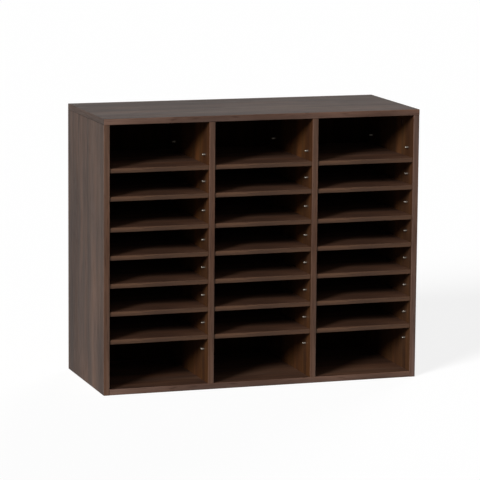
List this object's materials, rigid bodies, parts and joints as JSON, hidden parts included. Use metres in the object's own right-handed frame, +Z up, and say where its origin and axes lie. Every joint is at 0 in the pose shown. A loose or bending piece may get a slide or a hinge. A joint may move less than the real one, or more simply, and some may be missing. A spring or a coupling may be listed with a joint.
{
  "type": "literature organizer",
  "caption": "Free-standing open-front cabinet of dark laminated board: columns of adjustable shelves on metal pins sort paper, booklets and binders.",
  "frame": {"origin": "middle of the footprint, on the surface it stands on", "axes": "+X to the right seen from the front, +Y to the back, +Z up"},
  "size_m": [0.74, 0.305, 0.617],
  "materials": {
    "walnut_laminate": "dark walnut melamine on particle board, satin",
    "back_hardboard": "thin dark hardboard, matt",
    "nickel_pin": "nickel-plated steel",
    "zinc_plated_steel": "bright zinc plate",
    "die_cast_zinc": "as cast",
    "cap_plastic": "moulded brown plastic",
    "beech_dowel": "raw beech"
  },
  "bodies": {
    "carcass": {"left_side": "walnut_laminate", "right_side": "walnut_laminate", "left_divider": "walnut_laminate", "right_divider": "walnut_laminate", "top_panel": "walnut_laminate", "bottom_panel": "walnut_laminate", "back_panel": "back_hardboard", "left_support_pins": "nickel_pin", "left_spare_pins": "nickel_pin", "middle_support_pins": "nickel_pin", "middle_spare_pins": "nickel_pin", "right_support_pins": "nickel_pin", "right_spare_pins": "nickel_pin", "cam_bolts": "zinc_plated_steel", "cam_discs": "die_cast_zinc", "cam_caps": "cap_plastic", "dowels": "beech_dowel", "divider_screws": "zinc_plated_steel"},
    "left_shelf_1": {"left_shelf_1": "walnut_laminate"},
    "left_shelf_2": {"left_shelf_2": "walnut_laminate"},
    "left_shelf_3": {"left_shelf_3": "walnut_laminate"},
    "left_shelf_4": {"left_shelf_4": "walnut_laminate"},
    "left_shelf_5": {"left_shelf_5": "walnut_laminate"},
    "left_shelf_6": {"left_shelf_6": "walnut_laminate"},
    "left_shelf_7": {"left_shelf_7": "walnut_laminate"},
    "middle_shelf_1": {"middle_shelf_1": "walnut_laminate"},
    "middle_shelf_2": {"middle_shelf_2": "walnut_laminate"},
    "middle_shelf_3": {"middle_shelf_3": "walnut_laminate"},
    "middle_shelf_4": {"middle_shelf_4": "walnut_laminate"},
    "middle_shelf_5": {"middle_shelf_5": "walnut_laminate"},
    "middle_shelf_6": {"middle_shelf_6": "walnut_laminate"},
    "middle_shelf_7": {"middle_shelf_7": "walnut_laminate"},
    "right_shelf_1": {"right_shelf_1": "walnut_laminate"},
    "right_shelf_2": {"right_shelf_2": "walnut_laminate"},
    "right_shelf_3": {"right_shelf_3": "walnut_laminate"},
    "right_shelf_4": {"right_shelf_4": "walnut_laminate"},
    "right_shelf_5": {"right_shelf_5": "walnut_laminate"},
    "right_shelf_6": {"right_shelf_6": "walnut_laminate"},
    "right_shelf_7": {"right_shelf_7": "walnut_laminate"}
  },
  "joints": [
    {"name": "left_shelf_1_slide", "type": "slide", "parent": "carcass", "child": "left_shelf_1", "axis": [0, -1, 0], "range_m": [0, 0.3]},
    {"name": "left_shelf_2_slide", "type": "slide", "parent": "carcass", "child": "left_shelf_2", "axis": [0, -1, 0], "range_m": [0, 0.3]},
    {"name": "left_shelf_3_slide", "type": "slide", "parent": "carcass", "child": "left_shelf_3", "axis": [0, -1, 0], "range_m": [0, 0.3]},
    {"name": "left_shelf_4_slide", "type": "slide", "parent": "carcass", "child": "left_shelf_4", "axis": [0, -1, 0], "range_m": [0, 0.3]},
    {"name": "left_shelf_5_slide", "type": "slide", "parent": "carcass", "child": "left_shelf_5", "axis": [0, -1, 0], "range_m": [0, 0.3]},
    {"name": "left_shelf_6_slide", "type": "slide", "parent": "carcass", "child": "left_shelf_6", "axis": [0, -1, 0], "range_m": [0, 0.3]},
    {"name": "left_shelf_7_slide", "type": "slide", "parent": "carcass", "child": "left_shelf_7", "axis": [0, -1, 0], "range_m": [0, 0.3]},
    {"name": "middle_shelf_1_slide", "type": "slide", "parent": "carcass", "child": "middle_shelf_1", "axis": [0, -1, 0], "range_m": [0, 0.3]},
    {"name": "middle_shelf_2_slide", "type": "slide", "parent": "carcass", "child": "middle_shelf_2", "axis": [0, -1, 0], "range_m": [0, 0.3]},
    {"name": "middle_shelf_3_slide", "type": "slide", "parent": "carcass", "child": "middle_shelf_3", "axis": [0, -1, 0], "range_m": [0, 0.3]},
    {"name": "middle_shelf_4_slide", "type": "slide", "parent": "carcass", "child": "middle_shelf_4", "axis": [0, -1, 0], "range_m": [0, 0.3]},
    {"name": "middle_shelf_5_slide", "type": "slide", "parent": "carcass", "child": "middle_shelf_5", "axis": [0, -1, 0], "range_m": [0, 0.3]},
    {"name": "middle_shelf_6_slide", "type": "slide", "parent": "carcass", "child": "middle_shelf_6", "axis": [0, -1, 0], "range_m": [0, 0.3]},
    {"name": "middle_shelf_7_slide", "type": "slide", "parent": "carcass", "child": "middle_shelf_7", "axis": [0, -1, 0], "range_m": [0, 0.3]},
    {"name": "right_shelf_1_slide", "type": "slide", "parent": "carcass", "child": "right_shelf_1", "axis": [0, -1, 0], "range_m": [0, 0.3]},
    {"name": "right_shelf_2_slide", "type": "slide", "parent": "carcass", "child": "right_shelf_2", "axis": [0, -1, 0], "range_m": [0, 0.3]},
    {"name": "right_shelf_3_slide", "type": "slide", "parent": "carcass", "child": "right_shelf_3", "axis": [0, -1, 0], "range_m": [0, 0.3]},
    {"name": "right_shelf_4_slide", "type": "slide", "parent": "carcass", "child": "right_shelf_4", "axis": [0, -1, 0], "range_m": [0, 0.3]},
    {"name": "right_shelf_5_slide", "type": "slide", "parent": "carcass", "child": "right_shelf_5", "axis": [0, -1, 0], "range_m": [0, 0.3]},
    {"name": "right_shelf_6_slide", "type": "slide", "parent": "carcass", "child": "right_shelf_6", "axis": [0, -1, 0], "range_m": [0, 0.3]},
    {"name": "right_shelf_7_slide", "type": "slide", "parent": "carcass", "child": "right_shelf_7", "axis": [0, -1, 0], "range_m": [0, 0.3]}
  ]
}
